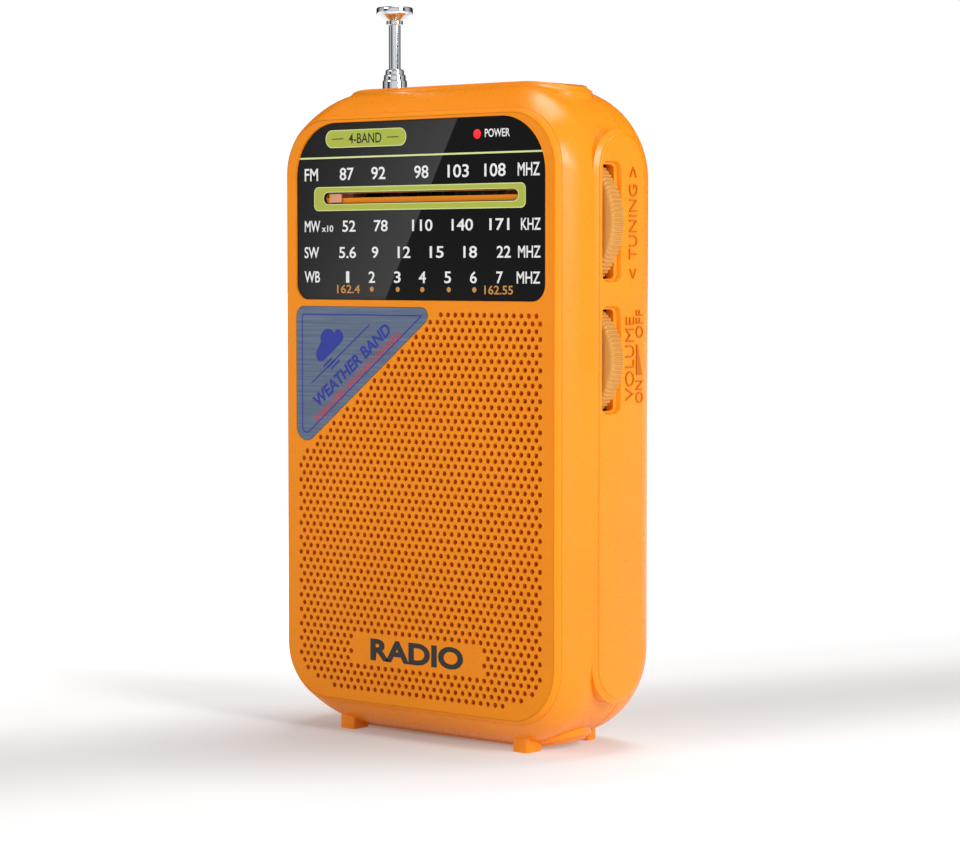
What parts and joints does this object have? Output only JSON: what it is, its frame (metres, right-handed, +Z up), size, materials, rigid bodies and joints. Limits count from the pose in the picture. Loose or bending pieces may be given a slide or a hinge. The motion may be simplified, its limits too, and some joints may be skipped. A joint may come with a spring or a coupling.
{
  "type": "portable radio",
  "caption": "Pocket radio in a rounded two-shell case, with a slide-rule dial, speaker grille, two side thumbwheels, a band switch and a telescopic aerial.",
  "frame": {"origin": "middle of the case in width and depth, on the surface that the feet stand on", "axes": "+X to the side with the thumbwheels, +Y to the back, +Z up along the aerial"},
  "size_m": [0.0718, 0.0272, 0.1285],
  "materials": {
    "case": "satin moulded ABS",
    "dial": "gloss acrylic, printed on the face",
    "label": "brushed foil label",
    "pointer": "satin",
    "wheel": "satin moulded ABS",
    "steel": "zinc plated",
    "brass": "turned",
    "chrome": "polished",
    "cord": "braided nylon",
    "nylon": "moulded",
    "component": "moulded epoxy",
    "board": "solder resist",
    "sleeve": "shrunk sleeve",
    "led": "clear red epoxy",
    "ferrite": "ground",
    "copper": "enamelled wire",
    "cone": "pressed pulp",
    "magnet": "plated",
    "wire": "PVC insulation",
    "cell": "printed sleeve",
    "contact": "nickel plated"
  },
  "bodies": {
    "case": {"front_shell": "case", "back_shell": "case", "front_panel": "case", "dial_window": "dial", "weather_label": "label", "case_screws": "steel", "pointer_rail": "steel", "dial_cord": "cord", "pulley_pin": "steel", "tuning_potentiometer": "component", "volume_potentiometer": "component", "circuit_board": "board", "board_screws": "steel", "tuner_chip": "component", "amplifier_chip": "component", "electrolytic_capacitors": "sleeve", "crystal": "steel", "power_led": "led", "ferrite_rod": "ferrite", "rod_coil": "copper", "rod_clips": "nylon", "band_switch": "steel", "headphone_jack": "component", "speaker_basket": "steel", "speaker_cone": "cone", "speaker_magnet": "magnet", "speaker_clips": "steel", "speaker_wires": "wire", "battery_cells": "cell", "battery_springs": "steel", "battery_contacts": "contact", "aerial_outer_tube": "chrome", "aerial_clip": "steel", "aerial_screw": "steel"},
    "door": {"battery_door": "case"},
    "pointer": {"dial_pointer": "pointer"},
    "pulley": {"cord_pulley": "nylon"},
    "tuning": {"tuning_wheel": "wheel", "tuning_shaft": "brass", "tuning_wheel_screw": "steel"},
    "volume": {"volume_wheel": "wheel", "volume_shaft": "brass", "volume_wheel_screw": "steel"},
    "band_knob": {"band_switch_knob": "wheel"},
    "aerial_second": {"aerial_second_tube": "chrome"},
    "aerial_third": {"aerial_third_tube": "chrome"},
    "aerial_tip": {"aerial_tip_rod": "chrome", "aerial_cap": "chrome"}
  },
  "joints": [
    {"name": "tuning_turn", "type": "hinge", "parent": "case", "child": "tuning", "pos_m": [0.0235, -0.00325, 0.0898], "axis": [0, 1, 0], "range_deg": [0, 300]},
    {"name": "pointer_slide", "type": "slide", "parent": "case", "child": "pointer", "axis": [1, 0, 0], "range_m": [0, 0.0385]},
    {"name": "pulley_turn", "type": "hinge", "parent": "case", "child": "pulley", "pos_m": [-0.0255, -0.006, 0.09515], "axis": [0, 1, 0], "range_deg": [0, 1103]},
    {"name": "volume_turn", "type": "hinge", "parent": "case", "child": "volume", "pos_m": [0.0256, -0.00325, 0.0667], "axis": [0, 1, 0], "range_deg": [0, 280]},
    {"name": "band_slide", "type": "slide", "parent": "case", "child": "band_knob", "axis": [0, 0, 1], "range_m": [0, 0.009]},
    {"name": "door_swing", "type": "hinge", "parent": "case", "child": "door", "pos_m": [0, 0.0128, 0.01695], "axis": [-1, 0, 0], "range_deg": [0, 75]},
    {"name": "aerial_second_slide", "type": "slide", "parent": "case", "child": "aerial_second", "axis": [0, 0, 1], "range_m": [0, 0.054]},
    {"name": "aerial_third_slide", "type": "slide", "parent": "aerial_second", "child": "aerial_third", "axis": [0, 0, 1], "range_m": [0, 0.054]},
    {"name": "aerial_tip_slide", "type": "slide", "parent": "aerial_third", "child": "aerial_tip", "axis": [0, 0, 1], "range_m": [0, 0.054]}
  ],
  "couplings": [
    {"joint": "pointer_slide", "follows": "tuning_turn", "m_per_rad": 0.00735},
    {"joint": "pulley_turn", "follows": "tuning_turn", "ratio": 3.675}
  ]
}
